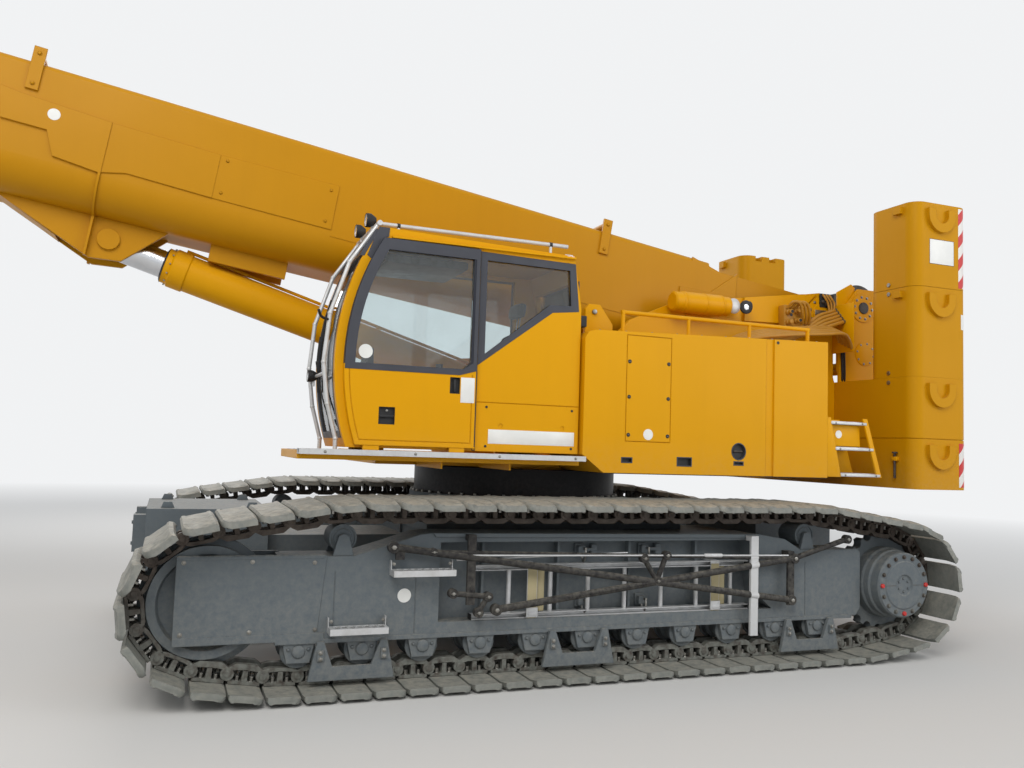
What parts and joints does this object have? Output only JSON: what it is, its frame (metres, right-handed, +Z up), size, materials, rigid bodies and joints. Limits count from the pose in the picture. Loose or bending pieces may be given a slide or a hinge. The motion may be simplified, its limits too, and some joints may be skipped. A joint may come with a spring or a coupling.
{
  "type": "crawler crane",
  "caption": "Telescopic-boom crawler crane with tracked undercarriage, slewing superstructure, side cab, stacked counterweights, luffing cylinder, sliding boom sections and hook block.",
  "frame": {"origin": "on the ground under the middle of the whole crane's box, boom parked", "axes": "+X ahead along the boom, +Y to the cab side, +Z up"},
  "size_m": [12.6563, 4.234, 5.0184],
  "materials": {
    "yellow_paint": "satin",
    "boom_paint": "satin",
    "counterweight_paint": "satin",
    "frame_paint": "satin",
    "shoe_steel": "dusty",
    "dark_steel": "matt",
    "aluminium": "brushed",
    "chrome": "polished",
    "charcoal_plastic": "matt",
    "glass": "clear"
  },
  "bodies": {
    "undercarriage": {"carbody": "frame_paint", "track_frame_left": "frame_paint", "track_frame_right": "frame_paint", "track_left": "shoe_steel", "track_right": "shoe_steel", "idlers": "frame_paint", "sprockets": "frame_paint", "bottom_rollers": "frame_paint", "carrier_rollers": "frame_paint", "track_guards": "frame_paint", "slewing_ring": "dark_steel", "track_steps": "aluminium", "stowed_ladder": "aluminium", "stowed_struts": "dark_steel"},
    "superstructure": {"turntable": "yellow_paint", "cylinder_foot": "yellow_paint", "deck_plates": "yellow_paint", "hood_left": "yellow_paint", "hood_right": "yellow_paint", "engine": "dark_steel", "counterweight_slabs": "counterweight_paint", "counterweights": "counterweight_paint", "winch_frame": "yellow_paint", "rear_steps": "aluminium", "deck_rail": "yellow_paint", "deck_tube": "yellow_paint", "cab_shell": "yellow_paint", "cab_roof": "yellow_paint", "cab_panes": "glass", "cab_seat": "charcoal_plastic", "cab_console": "charcoal_plastic", "cab_rails": "aluminium", "cab_sill": "aluminium"},
    "engine_door": {"engine_door": "yellow_paint"},
    "winch": {"winch_drum": "dark_steel"},
    "cab_door": {"cab_door": "yellow_paint", "door_pane": "glass"},
    "boom": {"boom_base": "boom_paint", "boom_lug": "boom_paint", "hoist_rope": "dark_steel"},
    "tele_1": {"tele_1": "boom_paint"},
    "tele_2": {"tele_2": "boom_paint"},
    "tele_3": {"tele_3": "boom_paint"},
    "tele_4": {"tele_4": "boom_paint"},
    "tele_5": {"tele_5": "boom_paint"},
    "head_sheaves": {"head_sheaves": "dark_steel"},
    "hook": {"hook_block": "dark_steel"},
    "luff_barrel": {"luff_barrel": "yellow_paint"},
    "luff_rod": {"luff_rod": "chrome"}
  },
  "joints": [
    {"name": "slew", "type": "hinge", "parent": "undercarriage", "child": "superstructure", "pos_m": [-2.36205, 0, 1.37], "axis": [0, 0, 1], "continuous": true},
    {"name": "boom_luff", "type": "hinge", "parent": "superstructure", "child": "boom", "pos_m": [-5.46205, 0, 3.15], "axis": [0, -1, 0], "range_deg": [-1, 73.5]},
    {"name": "telescope", "type": "slide", "parent": "boom", "child": "tele_1", "axis": [0.989, 0, 0.1478], "range_m": [0, 8.1]},
    {"name": "telescope_2", "type": "slide", "parent": "tele_1", "child": "tele_2", "axis": [0.989, 0, 0.1478], "range_m": [0, 8.1]},
    {"name": "telescope_3", "type": "slide", "parent": "tele_2", "child": "tele_3", "axis": [0.989, 0, 0.1478], "range_m": [0, 8.1]},
    {"name": "telescope_4", "type": "slide", "parent": "tele_3", "child": "tele_4", "axis": [0.989, 0, 0.1478], "range_m": [0, 8.1]},
    {"name": "telescope_5", "type": "slide", "parent": "tele_4", "child": "tele_5", "axis": [0.989, 0, 0.1478], "range_m": [0, 8.1]},
    {"name": "sheave_turn", "type": "hinge", "parent": "tele_5", "child": "head_sheaves", "pos_m": [6.05205, 0, 3.91024], "axis": [0, 1, 0], "continuous": true},
    {"name": "hook_swing", "type": "hinge", "parent": "tele_5", "child": "hook", "pos_m": [6.05205, 0, 3.91024], "axis": [0, -1, 0], "range_deg": [-73.6, 1.1]},
    {"name": "cylinder_swing", "type": "hinge", "parent": "superstructure", "child": "luff_barrel", "pos_m": [-3.26205, 0, 1.83], "axis": [0, -1, 0], "range_deg": [-1.12, 75.34]},
    {"name": "cylinder_stroke", "type": "slide", "parent": "luff_barrel", "child": "luff_rod", "axis": [0.9557, 0, 0.2944], "range_m": [-0.04367, 3.0646]},
    {"name": "door_slide", "type": "slide", "parent": "superstructure", "child": "cab_door", "axis": [-1, 0, 0], "range_m": [0, 0.8]},
    {"name": "engine_door_hinge", "type": "hinge", "parent": "superstructure", "child": "engine_door", "pos_m": [-2.65805, -1.5293, 2], "axis": [0, 0, 1], "range_deg": [0, 110]},
    {"name": "winch_turn", "type": "hinge", "parent": "superstructure", "child": "winch", "pos_m": [-5.98205, 0, 3.24], "axis": [0, 1, 0], "continuous": true}
  ],
  "couplings": [
    {"joint": "telescope_2", "follows": "telescope", "ratio": 1},
    {"joint": "telescope_3", "follows": "telescope", "ratio": 1},
    {"joint": "telescope_4", "follows": "telescope", "ratio": 1},
    {"joint": "telescope_5", "follows": "telescope", "ratio": 1},
    {"joint": "hook_swing", "follows": "boom_luff", "ratio": -1},
    {"joint": "cylinder_swing", "follows": "boom_luff", "ratio": 1.0237},
    {"joint": "cylinder_stroke", "follows": "boom_luff", "m_per_rad": 2.3874}
  ]
}
